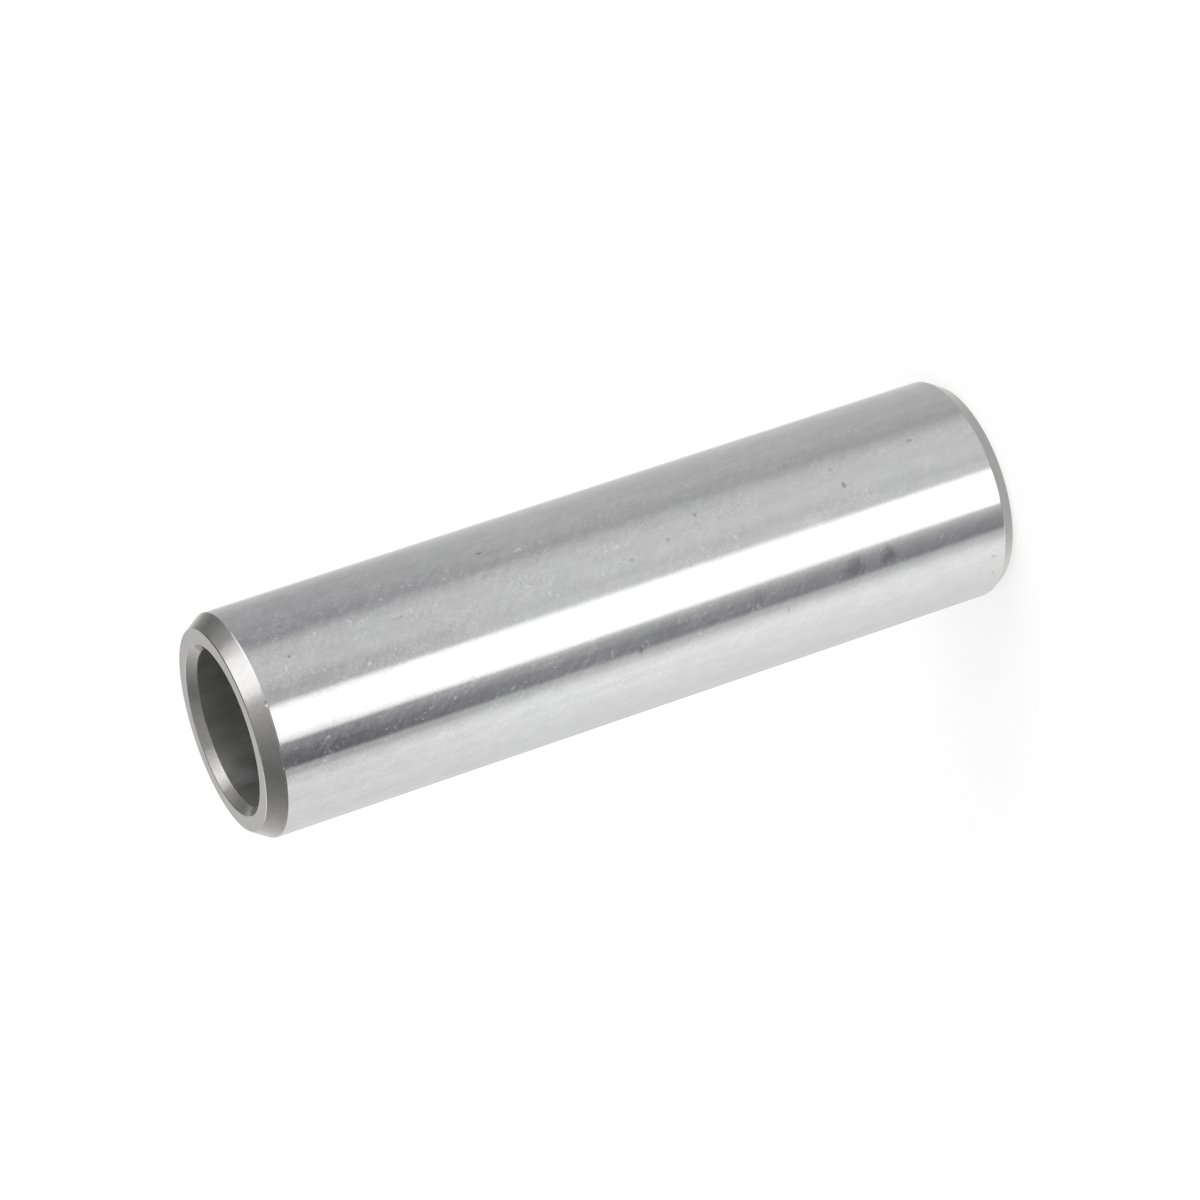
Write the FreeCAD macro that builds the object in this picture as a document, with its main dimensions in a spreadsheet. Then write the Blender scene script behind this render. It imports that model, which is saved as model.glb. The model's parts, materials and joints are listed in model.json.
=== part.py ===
import FreeCAD, Part
import os

import Sketcher

# A gudgeon pin: the hollow steel pin that joins a piston to its connecting rod.
# It is one turned and ground piece. It stands on its foot end, with +Z along its
# axis and the origin at the centre of the foot face. Sizes are in millimetres.

NODE = "gudgeon_pin"
SAME_PLACE = 1e-4

# How the sketcher numbers the ends of a line, its own origin and its horizontal axis.
START, END = 1, 2
SKETCH_ORIGIN = (-1, START)
HORIZONTAL_AXIS = -1

# Each size is one cell of the sheet: its alias, its value and what it measures.
SIZES = [
    ("outside_diameter", 20.0, "ground outside, which runs in the bosses and the small end"),
    ("pin_length", 72.0, "from the foot face to the top face"),
    ("bore_diameter", 14.0, "straight bore, open at both ends"),
    ("top_chamfer_length", 1.5, "lead-in chamfer at the top end, along the axis"),
    ("top_chamfer_drop", 1.0, "the same chamfer, across the axis"),
    ("foot_chamfer_length", 1.2, "lead-in chamfer at the foot end, along the axis"),
    ("foot_chamfer_drop", 0.7, "the same chamfer, across the axis"),
    ("mouth_chamfer_length", 0.8, "chamfer of the bore's two mouths, along the axis"),
    ("mouth_chamfer_rise", 0.65, "the same chamfer, across the axis"),
    ("shoulder_radius", 0.3, "blend between the ground outside and each lead-in chamfer"),
    ("face_edge_radius", 0.15, "blend between each lead-in chamfer and its end face"),
    ("mouth_edge_radius", 0.08, "broken edge between each end face and the mouth chamfer"),
]


def make_sheet(doc):
    """The driving dimensions, one row each: alias, value, meaning."""
    sheet = doc.addObject("Spreadsheet::Sheet", "Sizes")
    for row, (alias, value, meaning) in enumerate(SIZES, start=1):
        sheet.set(f"A{row}", alias)
        sheet.set(f"B{row}", str(value))
        sheet.set(f"C{row}", meaning)
        sheet.setAlias(f"B{row}", alias)
    doc.recompute()
    return sheet


def origin_plane(body, role):
    """One of the body's own origin planes, found by its role."""
    return next(f for f in body.Origin.OriginFeatures if f.Role == role)


def section_corners(sheet):
    """The half section's corners as (distance from the axis, height), anticlockwise from the foot."""
    outside = sheet.outside_diameter / 2
    bore = sheet.bore_diameter / 2
    mouth = bore + sheet.mouth_chamfer_rise
    length = sheet.pin_length
    return {
        "foot_rim": (outside - sheet.foot_chamfer_drop, 0.0),
        "foot_shoulder": (outside, sheet.foot_chamfer_length),
        "top_shoulder": (outside, length - sheet.top_chamfer_length),
        "top_rim": (outside - sheet.top_chamfer_drop, length),
        "top_mouth": (mouth, length),
        "top_bore": (bore, length - sheet.mouth_chamfer_length),
        "foot_bore": (bore, sheet.mouth_chamfer_length),
        "foot_mouth": (mouth, 0.0),
    }


def draw_section(body, sheet):
    """The closed half section that the lathe leaves, fully dimensioned from the sheet."""
    sketch = body.newObject("Sketcher::SketchObject", "Section")
    sketch.AttachmentSupport = [(origin_plane(body, "XZ_Plane"), "")]
    sketch.MapMode = "FlatFace"

    corners = section_corners(sheet)
    place = {name: FreeCAD.Vector(r, z, 0) for name, (r, z) in corners.items()}
    place["axis"] = FreeCAD.Vector(0, 0, 0)

    # Each line runs from its own corner to the next, so a corner is the start of its line.
    line = {name: number for number, name in enumerate(corners)}
    point = {name: (number, START) for name, number in line.items()}
    point["axis"] = SKETCH_ORIGIN

    following = list(corners)[1:] + list(corners)[:1]
    for name, after in zip(corners, following):
        sketch.addGeometry(Part.LineSegment(place[name], place[after]), False)
    for name, after in zip(corners, following):
        sketch.addConstraint(Sketcher.Constraint("Coincident", line[name], END, *point[after]))

    sketch.addConstraint(
        [
            Sketcher.Constraint("Vertical", line["foot_shoulder"]),
            Sketcher.Constraint("Horizontal", line["top_rim"]),
            Sketcher.Constraint("Vertical", line["top_bore"]),
            Sketcher.Constraint("PointOnObject", *point["foot_mouth"], HORIZONTAL_AXIS),
            Sketcher.Constraint("PointOnObject", *point["foot_rim"], HORIZONTAL_AXIS),
        ]
    )

    def dimension(kind, name, low, high, formula):
        """A named distance from one point to another, bound to the sheet."""
        gap = place[high] - place[low]
        size = gap.x if kind == "DistanceX" else gap.y
        index = sketch.addConstraint(Sketcher.Constraint(kind, *point[low], *point[high], size))
        sketch.renameConstraint(index, name)
        sketch.setExpression(f"Constraints.{name}", formula)

    dimension("DistanceX", "OutsideRadius", "axis", "foot_shoulder", "Sizes.outside_diameter / 2")
    dimension("DistanceX", "BoreRadius", "axis", "foot_bore", "Sizes.bore_diameter / 2")
    dimension("DistanceY", "PinLength", "axis", "top_rim", "Sizes.pin_length")
    dimension("DistanceX", "TopDrop", "top_rim", "top_shoulder", "Sizes.top_chamfer_drop")
    dimension("DistanceY", "TopLead", "top_shoulder", "top_rim", "Sizes.top_chamfer_length")
    dimension("DistanceX", "FootDrop", "foot_rim", "foot_shoulder", "Sizes.foot_chamfer_drop")
    dimension("DistanceY", "FootLead", "foot_rim", "foot_shoulder", "Sizes.foot_chamfer_length")
    dimension("DistanceX", "TopMouthRise", "top_bore", "top_mouth", "Sizes.mouth_chamfer_rise")
    dimension("DistanceY", "TopMouthLead", "top_bore", "top_mouth", "Sizes.mouth_chamfer_length")
    dimension("DistanceX", "FootMouthRise", "foot_bore", "foot_mouth", "Sizes.mouth_chamfer_rise")
    dimension("DistanceY", "FootMouthLead", "foot_mouth", "foot_bore", "Sizes.mouth_chamfer_length")
    return sketch


def turn(body, sketch):
    """Revolves the half section about the pin's axis."""
    turned = body.newObject("PartDesign::Revolution", "Turned")
    turned.Profile = sketch
    turned.ReferenceAxis = (sketch, ["V_Axis"])
    turned.Angle = 360.0
    sketch.Visibility = False
    return turned


def ring_edges(shape, rings):
    """Names of the circular edges of shape that lie on the given (radius, height) rings."""
    found = []
    for number, edge in enumerate(shape.Edges, start=1):
        curve = edge.Curve
        if not isinstance(curve, Part.Circle):
            continue
        for radius, height in rings:
            same_radius = abs(curve.Radius - radius) < SAME_PLACE
            same_height = abs(curve.Center.z - height) < SAME_PLACE
            if same_radius and same_height:
                found.append(f"Edge{number}")
    if len(found) != len(rings):
        raise RuntimeError(f"found {len(found)} edges on {len(rings)} rings")
    return found


def blend(body, doc, name, base, rings, formula):
    """Rounds the edges of base on the given rings, with a radius bound to the sheet."""
    rounded = body.newObject("PartDesign::Fillet", name)
    rounded.Base = (base, ring_edges(base.Shape, rings))
    rounded.setExpression("Radius", formula)
    doc.recompute()
    return rounded


def make_pin(doc, sheet):
    """The whole pin: turned section, then the blends that grinding and tumbling leave."""
    body = doc.addObject("PartDesign::Body", "Pin")
    body.Label = NODE
    sketch = draw_section(body, sheet)
    turned = turn(body, sketch)
    doc.recompute()

    corners = section_corners(sheet)
    shoulders = [corners["top_shoulder"], corners["foot_shoulder"]]
    rims = [corners["top_rim"], corners["foot_rim"]]
    mouths = [corners["top_mouth"], corners["foot_mouth"]]
    feature = blend(body, doc, "ShoulderBlends", turned, shoulders, "Sizes.shoulder_radius")
    feature = blend(body, doc, "FaceEdges", feature, rims, "Sizes.face_edge_radius")
    feature = blend(body, doc, "MouthEdges", feature, mouths, "Sizes.mouth_edge_radius")
    body.Tip = feature
    return body


def check(doc, body):
    """Stops if a feature failed, a sketch is loose or the pin isn't one valid closed solid."""
    for item in doc.Objects:
        if "Invalid" in item.State or "Error" in item.State:
            raise RuntimeError(f"{item.Label} failed: {item.State}")
        if item.isDerivedFrom("Sketcher::SketchObject") and not item.FullyConstrained:
            raise RuntimeError(f"{item.Label} is not fully dimensioned")
    shape = body.Shape
    if shape.isNull() or not shape.isValid() or len(shape.Solids) != 1:
        raise RuntimeError(f"{body.Label} is not one valid solid")


def export(body):
    """Writes the pin's shape to parts, under its node name."""
    os.makedirs("parts", exist_ok=True)
    body.Shape.exportStep(f"parts/{body.Label}.step")
    box = body.Shape.BoundBox
    print(f"{body.Label}: volume {body.Shape.Volume:.2f} mm3, z {box.ZMin:.3f} to {box.ZMax:.3f}")


document = FreeCAD.newDocument("GudgeonPin")
sizes = make_sheet(document)
pin = make_pin(document, sizes)
document.recompute()
check(document, pin)
export(pin)
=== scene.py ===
import json
import math

import bpy
from mathutils import Matrix, Vector


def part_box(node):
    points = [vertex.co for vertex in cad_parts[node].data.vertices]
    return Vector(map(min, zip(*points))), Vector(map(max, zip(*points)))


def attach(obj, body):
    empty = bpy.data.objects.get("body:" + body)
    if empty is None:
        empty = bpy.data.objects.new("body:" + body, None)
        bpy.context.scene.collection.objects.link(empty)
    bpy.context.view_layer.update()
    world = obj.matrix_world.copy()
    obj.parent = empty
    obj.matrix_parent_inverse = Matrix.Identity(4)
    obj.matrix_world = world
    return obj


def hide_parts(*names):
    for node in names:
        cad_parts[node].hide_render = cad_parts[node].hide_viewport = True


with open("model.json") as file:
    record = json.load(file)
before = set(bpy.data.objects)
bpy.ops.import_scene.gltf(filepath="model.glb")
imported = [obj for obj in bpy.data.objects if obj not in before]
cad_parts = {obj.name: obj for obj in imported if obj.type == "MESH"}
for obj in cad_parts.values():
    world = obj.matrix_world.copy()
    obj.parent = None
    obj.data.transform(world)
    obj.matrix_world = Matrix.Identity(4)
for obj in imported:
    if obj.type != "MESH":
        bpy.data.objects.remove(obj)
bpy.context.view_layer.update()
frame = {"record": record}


# The gudgeon pin: one hollow steel pin, turned and bored from bar, case hardened,
# then centreless ground and superfinished outside. The chamfers and end faces keep
# the lathe's satin finish, and the bore keeps the dull skin of the heat treatment.

MM = 0.001
STEPS_ROUND = 480
ARC_STEPS = 6

mounts = {mount["name"]: mount for mount in frame["record"]["mounts"]}
foot_z, top_z = [corner.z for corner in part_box("gudgeon_pin")]
outside_r = mounts["outside"]["dims"]["r_mm"] * MM
bore_r = mounts["bore"]["dims"]["r_mm"] * MM
bore_middle = mounts["bore"]["pos_m"][2]
bore_half = mounts["bore"]["dims"]["length_mm"] * MM / 2

# Each chamfer as its size across the axis and along it.
TOP_CHAMFER = (1.0 * MM, 1.5 * MM)
FOOT_CHAMFER = (0.7 * MM, 1.2 * MM)
MOUTH_RISE = 0.65 * MM
SHOULDER_BLEND = 0.3 * MM
FACE_EDGE_BLEND = 0.15 * MM
MOUTH_EDGE_BLEND = 0.08 * MM
BORE_EDGE_BLEND = 0.06 * MM

# The three finishes, in the order in which the mesh takes its materials.
GROUND, TURNED, BORED = range(3)

# Each corner of the half section: distance from the axis, height, blend radius, and
# the finish of the run from it to the next corner with how many rows that run gets.
SECTION = [
    (outside_r - FOOT_CHAMFER[0], foot_z, FACE_EDGE_BLEND, TURNED, 3),
    (outside_r, foot_z + FOOT_CHAMFER[1], SHOULDER_BLEND, GROUND, 20),
    (outside_r, top_z - TOP_CHAMFER[1], SHOULDER_BLEND, TURNED, 12),
    (outside_r - TOP_CHAMFER[0], top_z, FACE_EDGE_BLEND, TURNED, 4),
    (bore_r + MOUTH_RISE, top_z, MOUTH_EDGE_BLEND, TURNED, 4),
    (bore_r, bore_middle + bore_half, BORE_EDGE_BLEND, BORED, 16),
    (bore_r, bore_middle - bore_half, BORE_EDGE_BLEND, TURNED, 3),
    (bore_r + MOUTH_RISE, foot_z, MOUTH_EDGE_BLEND, TURNED, 3),
]

# Rows close to each blend, which keep the flats beside it flat and carry the nick.
CLOSE_ROWS = (0.05 * MM, 0.12 * MM, 0.2 * MM, 0.3 * MM)


def toward(bearing):
    """The level direction at a bearing: degrees clockwise from the camera's side, from above."""
    a = math.radians(bearing)
    return Vector((-math.sin(a), -math.cos(a), 0.0))


# A small nick, knocked into the top shoulder, with its middle just under the skin.
NICK_REACH = 0.24 * MM
NICK_DEPTH = 0.06 * MM
NICK = toward(-5.5) * (outside_r - 0.01 * MM) + Vector((0, 0, top_z - TOP_CHAMFER[1]))


def blended_section(section):
    """The closed half section as rows of (point, finish), its corners rounded by true arcs."""
    arcs = []
    count = len(section)
    for i, (r, z, blend, _, _) in enumerate(section):
        here = Vector((r, z))
        back = (Vector(section[i - 1][:2]) - here).normalized()
        ahead = (Vector(section[(i + 1) % count][:2]) - here).normalized()
        half = back.angle(ahead) / 2
        reach = blend / math.tan(half)
        centre = here + (back + ahead).normalized() * blend / math.sin(half)
        start = here + back * reach - centre
        end = here + ahead * reach - centre
        turn = start.angle_signed(end)
        arc = []
        for k in range(ARC_STEPS + 1):
            a = -turn * k / ARC_STEPS
            x = start.x * math.cos(a) - start.y * math.sin(a)
            y = start.x * math.sin(a) + start.y * math.cos(a)
            arc.append(centre + Vector((x, y)))
        arcs.append(arc)
    rows = []
    for i, (_, _, _, finish, steps) in enumerate(section):
        before = section[i - 1][3]
        arc_finish = GROUND if GROUND in (before, finish) else finish
        rows += [(point, arc_finish) for point in arcs[i][:-1]]
        start, end = arcs[i][-1], arcs[(i + 1) % count][0]
        run = end - start
        shares = {k / steps for k in range(steps)}
        for close in CLOSE_ROWS:
            if close < run.length / 3:
                shares |= {close / run.length, 1 - close / run.length}
        rows += [(start + run * share, finish) for share in sorted(shares)]
    return rows


def with_nick(point):
    """The point, pressed in towards the axis where the nick is."""
    share = (point - NICK).length / NICK_REACH
    if share >= 1:
        return point
    inward = Vector((-point.x, -point.y, 0)).normalized()
    return point + inward * NICK_DEPTH * (1 - share * share) ** 2


def lathe(name, rows, steps_round):
    """A mesh turned about Z from the closed section."""
    points, faces, finishes = [], [], []
    for k in range(steps_round):
        a = 2 * math.pi * k / steps_round
        points += [with_nick(Vector((p.x * math.cos(a), p.x * math.sin(a), p.y))) for p, _ in rows]
    count = len(rows)
    for k in range(steps_round):
        here, there = k * count, (k + 1) % steps_round * count
        for i, (_, finish) in enumerate(rows):
            j = (i + 1) % count
            faces.append((here + i, there + i, there + j, here + j))
            finishes.append(finish)
    mesh = bpy.data.meshes.new(name)
    mesh.from_pydata(points, [], faces)
    mesh.polygons.foreach_set("material_index", finishes)
    mesh.polygons.foreach_set("use_smooth", [True] * len(faces))
    mesh.update()
    return mesh


pin_mesh = lathe("ground_pin", blended_section(SECTION), STEPS_ROUND)
pin = bpy.data.objects.new("ground_pin", pin_mesh)
bpy.context.scene.collection.objects.link(pin)


class Nodes:
    """A node tree that is laid out by short calls."""

    def __init__(self, tree):
        self.tree = tree
        tree.nodes.clear()

    def add(self, kind, inputs=(), **settings):
        """A node of that kind, with its settings and its inputs by name or number."""
        node = self.tree.nodes.new(kind)
        for key, value in settings.items():
            setattr(node, key, value)
        for key, value in dict(inputs).items():
            if isinstance(value, bpy.types.NodeSocket):
                self.link(value, node.inputs[key])
            else:
                node.inputs[key].default_value = value
        return node

    def link(self, output, socket):
        """Feeds a node's input from another node's output."""
        self.tree.links.new(output, socket)

    def math(self, operation, *values):
        """The result of a sum on sockets or numbers."""
        return self.add("ShaderNodeMath", dict(enumerate(values)), operation=operation).outputs[0]

    def vector(self, operation, one, other):
        """The results of a sum on two directions or places: first as a vector, then as a number."""
        return self.add("ShaderNodeVectorMath", {0: one, 1: other}, operation=operation).outputs

    def brightened(self, colour, factor):
        """The colour, made brighter or darker by a factor."""
        inputs = {0: colour, "Scale": factor}
        return self.add("ShaderNodeVectorMath", inputs, operation="SCALE").outputs[0]

    def axes(self, place):
        """The x, y and z of a place or direction."""
        return self.add("ShaderNodeSeparateXYZ", {0: place}).outputs

    def level_place(self, x, y):
        """The place at that x and y, at no height."""
        return self.add("ShaderNodeCombineXYZ", {0: x, 1: y, 2: 0.0}).outputs[0]

    def bearing(self, axes):
        """The bearing of a place or direction in radians, from its x, y and z."""
        left = self.math("MULTIPLY", axes[0], -1.0)
        near = self.math("MULTIPLY", axes[1], -1.0)
        return self.math("ARCTAN2", left, near)

    def spread(self, value, low, high, to_low, to_high, shape="LINEAR"):
        """value taken from one range to another, and held at the ends."""
        inputs = {0: value, 1: low, 2: high, 3: to_low, 4: to_high}
        return self.add("ShaderNodeMapRange", inputs, interpolation_type=shape).outputs[0]

    def mix(self, share, one, other):
        """One level passing into another as share goes from 0 to 1."""
        inputs = {0: share, 2: one, 3: other}
        return self.add("ShaderNodeMix", inputs, data_type="FLOAT").outputs[0]

    def mix_colours(self, share, one, other):
        """One colour passing into another as share goes from 0 to 1."""
        inputs = {0: share, 6: one, 7: other}
        return self.add("ShaderNodeMix", inputs, data_type="RGBA").outputs[2]

    def grain(self, place, stretch, detail=2.0, roughness=0.5, seed=0.0):
        """Noise whose cells are stretch metres long in x, y and z."""
        scaled = self.vector("MULTIPLY", place, [1 / s for s in stretch])[0]
        shifted = self.vector("ADD", scaled, (seed, seed, seed))[0]
        inputs = {"Vector": shifted, "Scale": 1.0, "Detail": detail, "Roughness": roughness}
        return self.add("ShaderNodeTexNoise", inputs, noise_dimensions="3D").outputs[0]

    def relief(self, height, depth):
        """The normal of a skin that rises by depth metres as height goes from 0 to 1."""
        inputs = {"Height": height, "Strength": 1.0, "Distance": depth}
        return self.add("ShaderNodeBump", inputs).outputs[0]


def steel(name, colour, roughness, anisotropy=0.0, bareness=1.0):
    """A metal as bare as bareness says, with its plain values on the shader's own sockets."""
    material = bpy.data.materials.new(name)
    material.use_nodes = True
    nodes = Nodes(material.node_tree)
    shader = nodes.add(
        "ShaderNodeBsdfPrincipled",
        {
            "Base Color": (*colour, 1),
            "Metallic": bareness,
            "Roughness": roughness,
            "Anisotropic": anisotropy,
        },
    )
    nodes.add("ShaderNodeOutputMaterial", {"Surface": shader.outputs[0]})
    place = nodes.add("ShaderNodeTexCoord").outputs["Object"]
    return material, nodes, shader, place


# Small pits in the ground skin, listed one by one: bearing in degrees, height, reach round
# and along the pin, and how much darker the steel is there.
PITS = [
    (-24.3, 67.1 * MM, 0.14 * MM, 0.14 * MM, 0.35),
    (17.9, 63.4 * MM, 0.2 * MM, 0.26 * MM, 0.22),
    (-25.4, 57.1 * MM, 0.1 * MM, 0.6 * MM, 0.14),
    (-47.6, 47.6 * MM, 0.16 * MM, 0.3 * MM, 0.36),
    (-16.2, 35.7 * MM, 0.16 * MM, 0.3 * MM, 0.2),
    (28.7, 37.2 * MM, 0.35 * MM, 0.2 * MM, 0.34),
    (-20.2, 31.9 * MM, 0.16 * MM, 0.16 * MM, 0.22),
    (-28.3, 28.6 * MM, 0.2 * MM, 0.18 * MM, 0.34),
    (33.5, 22.9 * MM, 0.3 * MM, 0.1 * MM, 0.22),
    (-28.8, 15.3 * MM, 0.17 * MM, 0.2 * MM, 0.16),
    (-18.6, 14.8 * MM, 0.27 * MM, 0.22 * MM, 0.36),
    (-30.6, 7.3 * MM, 0.14 * MM, 0.34 * MM, 0.34),
    (43.2, 2.4 * MM, 0.16 * MM, 0.26 * MM, 0.18),
    (55.8, 2.2 * MM, 0.2 * MM, 0.18 * MM, 0.18),
]
# Soft smudges, given in the same way. The last one is a faint bright scuff.
SMUDGES = [
    (22.5, 16.1 * MM, 0.8 * MM, 0.9 * MM, 0.3),
    (22.3, 12.7 * MM, 0.7 * MM, 0.7 * MM, 0.36),
    (21.2, 25.6 * MM, 0.6 * MM, 0.7 * MM, 0.16),
    (21.8, 34.5 * MM, 0.6 * MM, 1.1 * MM, 0.12),
    (-46.5, 46.8 * MM, 0.6 * MM, 1.0 * MM, 0.07),
    (-6.5, 18.8 * MM, 0.5 * MM, 1.6 * MM, -0.1),
]


def marked(nodes, place, marks, raggedness, softness):
    """How much darker the steel is at each place for those marks, as the uneven rims leave it."""
    total = 0.0
    for bearing, height, reach_round, reach_along, darker in marks:
        centre = toward(bearing) * outside_r + Vector((0, 0, height))
        offset = nodes.vector("SUBTRACT", place, centre)[0]
        shape = (1 / reach_round, 1 / reach_round, 1 / reach_along)
        away = nodes.vector("LENGTH", nodes.vector("MULTIPLY", offset, shape)[0], (0, 0, 0))[1]
        uneven = nodes.math("ADD", away, raggedness)
        mark = nodes.spread(uneven, 1 - softness, 1 + softness, darker, 0.0, "SMOOTHSTEP")
        total = nodes.math("ADD", mark, total)
    return total


GROUND_COLOUR = (0.62, 0.62, 0.62)
COOL_COLOUR = (0.619, 0.62, 0.6215, 1)
WARM_COLOUR = (0.621, 0.6198, 0.6193, 1)
POLISHED = 0.035
SCRATCHED = 0.05
LAP_SLOPE = 0.3
WIPE_SLOPE = 0.8
GROUND_RELIEF = 0.0025 * MM


def ground_steel():
    """Superfinished steel: lapping strokes in patches, streaks, pits, smudges and a dried film."""
    material, nodes, shader, place = steel("ground_steel", GROUND_COLOUR, POLISHED)
    axes = nodes.axes(place)
    arc = nodes.math("MULTIPLY", nodes.bearing(axes), outside_r)
    climb = nodes.math("ADD", axes[2], nodes.math("MULTIPLY", arc, LAP_SLOPE))
    fall = nodes.math("SUBTRACT", axes[2], nodes.math("MULTIPLY", arc, WIPE_SLOPE))
    lapping = nodes.level_place(arc, climb)
    wiping = nodes.level_place(arc, fall)
    strokes = nodes.grain(lapping, (0.42 * MM, 0.18 * MM, 1.0), roughness=0.65)
    smears = nodes.grain(wiping, (1.1 * MM, 0.7 * MM, 1.0), 3.0, 0.6, seed=13.0)
    streaks = nodes.grain(place, (0.5 * MM, 0.5 * MM, 20 * MM), seed=7.0)
    specks = nodes.grain(place, (0.4 * MM, 0.4 * MM, 0.4 * MM), detail=0.0, seed=23.0)
    clouds = nodes.grain(place, (1.3 * MM, 1.3 * MM, 2.2 * MM), 3.0, 0.6, seed=3.0)
    patches = nodes.grain(place, (2 * MM, 2 * MM, 3 * MM), seed=17.0)
    warmth = nodes.grain(place, (4 * MM, 4 * MM, 9 * MM), detail=1.0, seed=5.0)

    # The pin is handled more at its top end, and its strokes show most on the camera's side.
    used = nodes.spread(axes[2], 5 * MM, 62 * MM, 0.5, 1.0)
    front = nodes.vector("DOT_PRODUCT", place, toward(0) / outside_r)[1]
    worn = nodes.math("MULTIPLY", used, nodes.spread(patches, 0.38, 0.62, 0.4, 1.5))
    worn = nodes.math("MULTIPLY", worn, nodes.spread(front, 0.6, 0.87, 0.35, 1.0))

    pit_rims = nodes.grain(place, (0.14 * MM, 0.14 * MM, 0.14 * MM), roughness=0.6, seed=11.0)
    pitted = marked(nodes, place, PITS, nodes.spread(pit_rims, 0.25, 0.75, -0.6, 0.6), 0.4)
    smudge_rims = nodes.grain(place, (0.5 * MM, 0.5 * MM, 0.5 * MM), 3.0, 0.6, seed=19.0)
    smudged = marked(nodes, place, SMUDGES, nodes.spread(smudge_rims, 0.2, 0.8, -0.6, 0.6), 0.7)

    lapped = nodes.math("MULTIPLY", nodes.spread(strokes, 0.33, 0.67, -0.085, 0.085), worn)
    streaked = nodes.spread(streaks, 0.3, 0.7, -0.023, 0.023)
    cloudy = nodes.spread(clouds, 0.3, 0.7, -0.04, 0.04)
    smeared = nodes.math("MULTIPLY", nodes.spread(smears, 0.35, 0.65, -0.025, 0.025), used)
    bright = 1.0
    for change in (lapped, streaked, cloudy, smeared):
        bright = nodes.math("ADD", bright, change)
    for loss in (pitted, smudged):
        bright = nodes.math("SUBTRACT", bright, loss)
    tint = nodes.mix_colours(nodes.spread(warmth, 0.35, 0.65, 0.0, 1.0), COOL_COLOUR, WARM_COLOUR)
    nodes.link(nodes.brightened(tint, bright), shader.inputs["Base Color"])

    scratched = nodes.math("MULTIPLY", nodes.spread(strokes, 0.55, 0.7, 0.0, SCRATCHED), worn)
    nodes.link(nodes.math("ADD", scratched, POLISHED), shader.inputs["Roughness"])

    # Under the dried film the steel mirrors a little less, which shows in dark reflections only.
    film = nodes.spread(smears, 0.42, 0.68, 0.0, 0.09)
    film = nodes.math("ADD", film, nodes.spread(specks, 0.71, 0.79, 0.0, 0.24))
    film = nodes.math("MULTIPLY", film, worn)
    nodes.link(nodes.math("SUBTRACT", 1.0, film), shader.inputs["Metallic"])

    height = nodes.math("ADD", nodes.math("MULTIPLY", strokes, 0.04), streaks)
    height = nodes.math("ADD", height, nodes.math("MULTIPLY", smears, 0.25))
    nodes.link(nodes.relief(height, GROUND_RELIEF), shader.inputs["Normal"])
    return material


TURNED_COLOUR = (0.607, 0.6, 0.592)
TURNED_ROUGHNESS = (0.09, 0.15)
TURNED_ANISOTROPY = 0.3
TURNED_RELIEF = 0.003 * MM


def turned_steel():
    """Satin turned steel: faint rings left by the tool, softened by tumbling."""
    material, nodes, shader, place = steel(
        "turned_steel", TURNED_COLOUR, TURNED_ROUGHNESS[1], TURNED_ANISOTROPY
    )
    around = nodes.add("ShaderNodeTangent", direction_type="RADIAL", axis="Z").outputs[0]
    nodes.link(around, shader.inputs["Tangent"])
    axes = nodes.axes(place)
    radius = nodes.vector("LENGTH", nodes.level_place(axes[0], axes[1]), (0, 0, 0))[1]
    feed = nodes.level_place(radius, axes[2])
    rings = nodes.grain(feed, (0.1 * MM, 0.1 * MM, 1.0), roughness=0.6)
    clouds = nodes.grain(place, (0.8 * MM, 0.8 * MM, 0.8 * MM), 3.0, 0.6, seed=5.0)
    speckle = nodes.grain(place, (0.1 * MM, 0.1 * MM, 0.1 * MM), roughness=0.6, seed=9.0)

    bright = nodes.spread(rings, 0.3, 0.7, 0.96, 1.04)
    for noise, most in ((clouds, 0.05), (speckle, 0.03)):
        bright = nodes.math("ADD", bright, nodes.spread(noise, 0.3, 0.7, -most, most))
    nodes.link(nodes.brightened(TURNED_COLOUR, bright), shader.inputs["Base Color"])
    nodes.link(nodes.spread(clouds, 0.3, 0.7, *TURNED_ROUGHNESS), shader.inputs["Roughness"])

    height = nodes.math("ADD", rings, nodes.math("MULTIPLY", speckle, 0.5))
    height = nodes.math("ADD", height, nodes.math("MULTIPLY", clouds, 4.0))
    nodes.link(nodes.relief(height, TURNED_RELIEF), shader.inputs["Normal"])
    return material


BORE_COLOUR = (0.58, 0.58, 0.577)
BORE_ROUGHNESS = (0.36, 0.46)
BORE_BARENESS = 0.965
BORE_RELIEF = 0.006 * MM


def bore_steel():
    """The bore's dull grey skin, drawn and then heat treated."""
    material, nodes, shader, place = steel(
        "bore_steel", BORE_COLOUR, BORE_ROUGHNESS[1], bareness=BORE_BARENESS
    )
    clouds = nodes.grain(place, (1.2 * MM, 1.2 * MM, 2.4 * MM), 3.0, 0.6)
    drawn = nodes.grain(place, (0.25 * MM, 0.25 * MM, 6 * MM), roughness=0.6, seed=4.0)
    fine = nodes.grain(place, (0.2 * MM, 0.2 * MM, 0.2 * MM), roughness=0.6)

    lines = nodes.spread(drawn, 0.3, 0.7, -0.04, 0.04)
    bright = nodes.math("ADD", nodes.spread(clouds, 0.3, 0.7, 0.93, 1.07), lines)
    nodes.link(nodes.brightened(BORE_COLOUR, bright), shader.inputs["Base Color"])
    nodes.link(nodes.spread(clouds, 0.3, 0.7, *BORE_ROUGHNESS), shader.inputs["Roughness"])
    nodes.link(nodes.relief(fine, BORE_RELIEF), shader.inputs["Normal"])
    return material


for finish in (ground_steel, turned_steel, bore_steel):
    pin_mesh.materials.append(finish())

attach(pin, "root")
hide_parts("gudgeon_pin")


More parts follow.
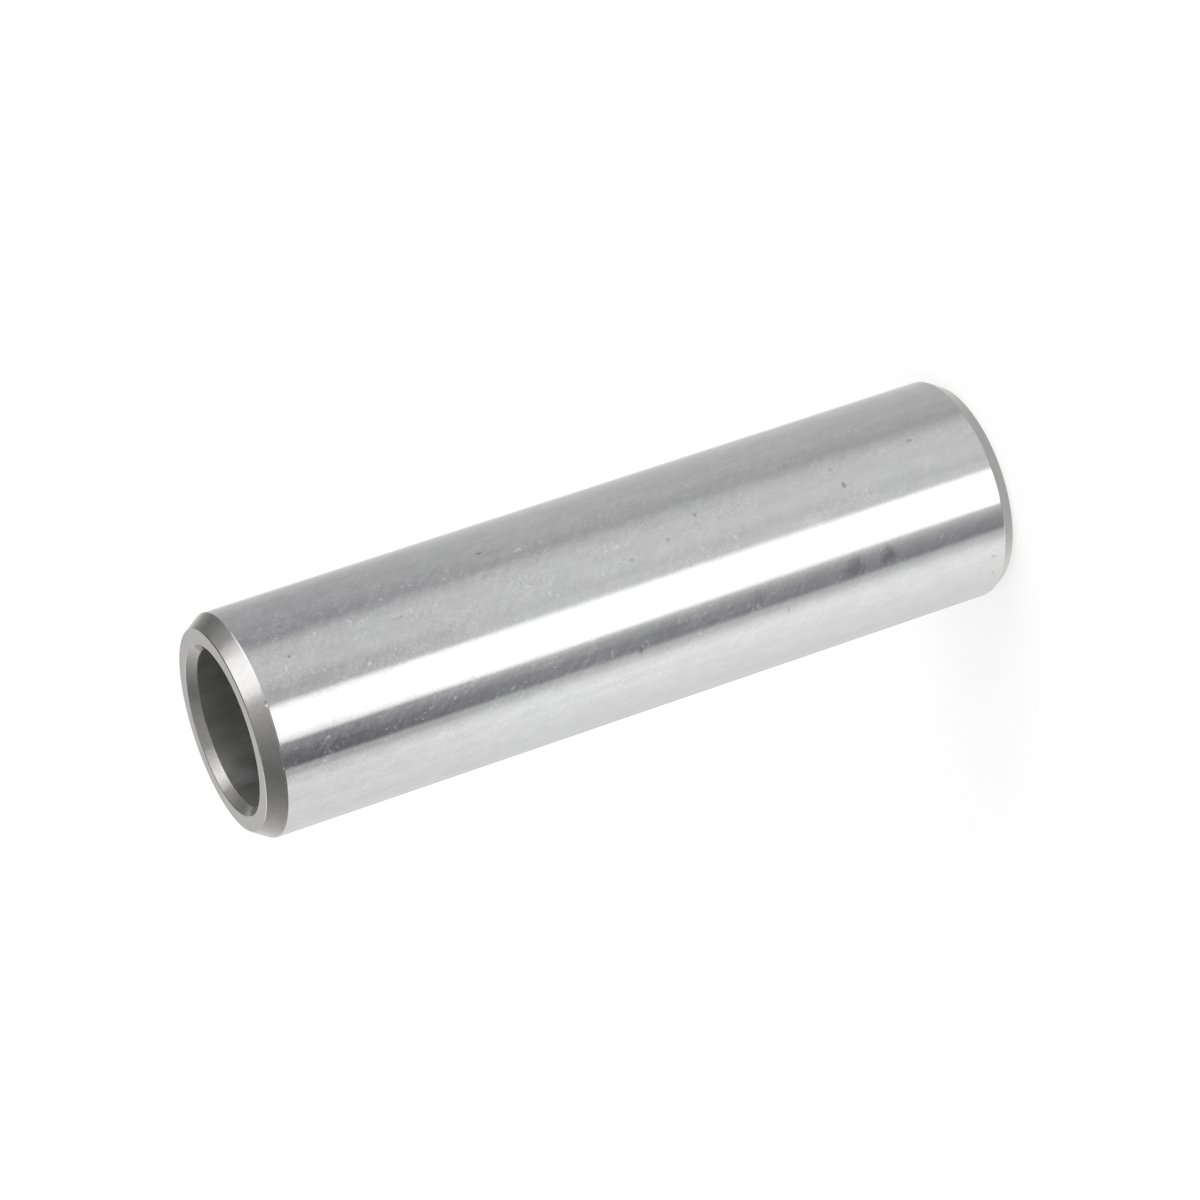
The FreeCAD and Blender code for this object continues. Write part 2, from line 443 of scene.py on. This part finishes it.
# The floor is a sheet of white acrylic lit from below, as small parts are shown on.
# Its glow keeps it white to the eye, and it still takes the pin's soft shadow.

FLOOR_REACH = 4.0
ACRYLIC_WHITE = (0.9, 0.9, 0.9, 1)
GLOW_SHARE = 0.7
GLOW_STRENGTH = 1.02

square = ((-1, -1), (1, -1), (1, 1), (-1, 1))
floor_mesh = bpy.data.meshes.new("floor")
floor_corners = [(x * FLOOR_REACH, y * FLOOR_REACH, foot_z) for x, y in square]
floor_mesh.from_pydata(floor_corners, [], [(0, 1, 2, 3)])
floor = bpy.data.objects.new("floor", floor_mesh)
bpy.context.scene.collection.objects.link(floor)
floor.visible_glossy = False

acrylic = bpy.data.materials.new("white_acrylic")
acrylic.use_nodes = True
acrylic.cycles.emission_sampling = "NONE"
sheet = Nodes(acrylic.node_tree)
matt = sheet.add("ShaderNodeBsdfDiffuse", {"Color": ACRYLIC_WHITE}).outputs[0]
glow_inputs = {"Color": (1, 1, 1, 1), "Strength": GLOW_STRENGTH}
glow = sheet.add("ShaderNodeEmission", glow_inputs).outputs[0]
by_eye = sheet.add("ShaderNodeLightPath").outputs["Is Camera Ray"]
glowing = sheet.math("MULTIPLY", by_eye, GLOW_SHARE)
surface = sheet.add("ShaderNodeMixShader", {0: glowing, 1: matt, 2: glow}).outputs[0]
sheet.add("ShaderNodeOutputMaterial", {"Surface": surface})
floor_mesh.materials.append(acrylic)


# The studio: white for the eye and even for the floor. Metal mirrors the room round the
# pin: a long key strip with a dark gap beside it below, and soft boxes and black cards above.

# Brightness of the lower room by bearing in degrees: as most of the pin mirrors it, and
# as its top end does. In order: the back wall, a fill card from -77 to -20, the key strip
# from -6 to 29, the dark gap to 57, the side box to 160 and the back wall again.
LOWER_ROOM = [
    (-180, 0.7, 0.72), (-177, 0.86, 0.88), (-171, 0.9, 0.92), (-158, 0.74, 0.7),
    (-129, 0.65, 0.54), (-100, 0.62, 0.51), (-77, 0.54, 0.42), (-65, 0.73, 0.67),
    (-56, 0.81, 0.77), (-34, 0.85, 0.8), (-20, 0.78, 0.61), (-9, 0.87, 0.66),
    (-5.5, 1.5, 1.35), (-1, 2.1, 1.75), (20, 2.15, 1.73), (26, 1.95, 1.44),
    (29, 1.55, 1.07), (32, 0.8, 0.4), (37, 0.54, 0.35), (45, 0.39, 0.22),
    (54.5, 0.33, 0.18), (57, 0.45, 0.36), (59, 0.62, 0.57), (63, 0.76, 0.6),
    (66.5, 0.9, 0.82), (70, 1.06, 0.9), (78, 1.2, 1.03), (113, 1.05, 1.0),
    (160, 0.82, 0.85), (166, 0.72, 0.74), (173, 0.54, 0.55), (180, 0.7, 0.72),
]
# The same for the upper room, which the top chamfer and the end face mirror. In order: the
# back wall, a black card from -150 to -107, a soft box from -95 to -24, its fall-off, a
# second black card from 30 to 95 and the back wall again.
UPPER_ROOM = [
    (-180, 0.64), (-166, 0.74), (-150, 0.34), (-138, 0.22), (-123, 0.26), (-107, 0.42),
    (-99, 0.46), (-95, 0.8), (-88, 0.92), (-79, 1.36), (-60, 1.56), (-42, 1.52),
    (-31, 1.3), (-24, 0.85), (-14, 0.64), (0, 0.48), (30, 0.29), (70, 0.19),
    (95, 0.25), (123, 0.43), (150, 0.67), (166, 0.78), (180, 0.64),
]
BRIGHTEST = 2.2

# Heights in the room are sines of the elevation. These are where most of the pin looks,
# where its top end looks, and where the upper room starts and where it shows in full.
MOST_SEES = math.sin(math.radians(-19.6))
TOP_SEES = math.sin(math.radians(-17))
UPPER_STARTS, UPPER_FULL = -0.25, -0.1

# The parts that don't change with the bearing: the height where each starts, the height
# where it shows in full, and its brightness. They are the ground under the pin, the gap
# between the walls and the box overhead, and that box.
EVEN_PARTS = [(-0.62, -0.95, 0.58), (0.72, 0.94, 0.36), (0.98, 0.99, 0.8)]

# A small soft box and a black card, hung high: bearing and elevation of the middle, how far
# from it each starts and shows in full, all in degrees, and its brightness.
HUNG_CARDS = [(150, 44, 20, 14, 1.3), (-150, 55, 32, 24, 0.04)]

WHITE = (1, 1, 1, 1)
BLUISH = (0.985, 0.985, 1.05, 1)

world = bpy.data.worlds.new("studio")
world.use_nodes = True
world.cycles.sampling_method = "NONE"
bpy.context.scene.world = world
room = Nodes(world.node_tree)
facing = room.add("ShaderNodeTexCoord").outputs["Generated"]
facing_axes = room.axes(facing)
turn = room.spread(room.bearing(facing_axes), -math.pi, math.pi, 0.0, 1.0)
height = facing_axes[2]


def ring(plan, column):
    """The brightness all round, for one column of a plan of the room."""
    node = room.add("ShaderNodeValToRGB", {0: turn})
    stops = node.color_ramp.elements
    while len(stops) < len(plan):
        stops.new(0.5)
    for stop, row in zip(stops, plan):
        stop.position = (row[0] + 180) / 360
        stop.color = [row[column] / BRIGHTEST] * 3 + [1]
    return room.math("MULTIPLY", node.outputs[0], BRIGHTEST)


def raised(bearing, elevation):
    """The direction at a bearing and an elevation, both in degrees."""
    return (toward(bearing) + Vector((0, 0, math.tan(math.radians(elevation))))).normalized()


top_end = room.spread(height, MOST_SEES, TOP_SEES, 0.0, 1.0)
lower_level = room.mix(top_end, ring(LOWER_ROOM, 1), ring(LOWER_ROOM, 2))
upper_part = room.spread(height, UPPER_STARTS, UPPER_FULL, 0.0, 1.0, "SMOOTHSTEP")
level = room.mix(upper_part, lower_level, ring(UPPER_ROOM, 1))
for start, full, brightness in EVEN_PARTS:
    level = room.mix(room.spread(height, start, full, 0.0, 1.0, "SMOOTHSTEP"), level, brightness)
for bearing, elevation, rim, heart, brightness in HUNG_CARDS:
    nearness = room.vector("DOT_PRODUCT", facing, raised(bearing, elevation))[1]
    ends = [math.cos(math.radians(reach)) for reach in (rim, heart)]
    level = room.mix(room.spread(nearness, *ends, 0.0, 1.0, "SMOOTHSTEP"), level, brightness)
mirrored = room.add("ShaderNodeLightPath").outputs["Is Glossy Ray"]
level = room.mix(mirrored, 1.0, level)

# What is dim in the lower room is a little bluish.
whiteness = room.math("MAXIMUM", room.spread(level, 0.2, 0.65, 0.0, 1.0), upper_part)
shade = room.mix_colours(whiteness, BLUISH, WHITE)
air = room.add("ShaderNodeBackground", {"Color": shade, "Strength": level}).outputs[0]
room.add("ShaderNodeOutputWorld", {"Surface": air})

# The one lamp, a soft box high at the camera's right, gives the floor its soft shadow.
LAMP_SIZE = 0.7
LAMP_POWER = 5.0
LAMP_DISTANCE = 1.2

soft_box = bpy.data.lights.new("soft_box", "AREA")
soft_box.size = LAMP_SIZE
soft_box.energy = LAMP_POWER
soft_box_stand = bpy.data.objects.new("soft_box", soft_box)
bpy.context.scene.collection.objects.link(soft_box_stand)
way_out = raised(-60, 50)
soft_box_stand.location = way_out * LAMP_DISTANCE
soft_box_stand.rotation_mode = "QUATERNION"
soft_box_stand.rotation_quaternion = way_out.to_track_quat("Z", "Y")
soft_box_stand.visible_glossy = False


# The camera: a long lens that looks down on the standing pin and is turned on its
# side, so that the picture shows the pin lying with its top end low at the left.

AIM = Vector((0.0004, 0.0, 0.0360))
DISTANCE = 0.4301
ELEVATION = math.radians(20.47)
ROLL = math.radians(108.4)
FOCAL_LENGTH = 148.5
SENSOR_WIDTH = 36.0
NEAREST_SEEN = 0.01

lens = bpy.data.cameras.new("camera")
lens.lens = FOCAL_LENGTH
lens.sensor_width = SENSOR_WIDTH
lens.clip_start = NEAREST_SEEN
camera = bpy.data.objects.new("camera", lens)
bpy.context.scene.collection.objects.link(camera)
back = Vector((0, -math.cos(ELEVATION), math.sin(ELEVATION)))
level_right = Vector((1, 0, 0))
upright = back.cross(level_right)
right = level_right * math.cos(ROLL) - upright * math.sin(ROLL)
up = back.cross(right)
turned = Matrix((right, up, back)).transposed().to_4x4()
camera.matrix_world = Matrix.Translation(AIM + back * DISTANCE) @ turned
bpy.context.scene.camera = camera
bpy.context.scene.view_settings.view_transform = "Standard"
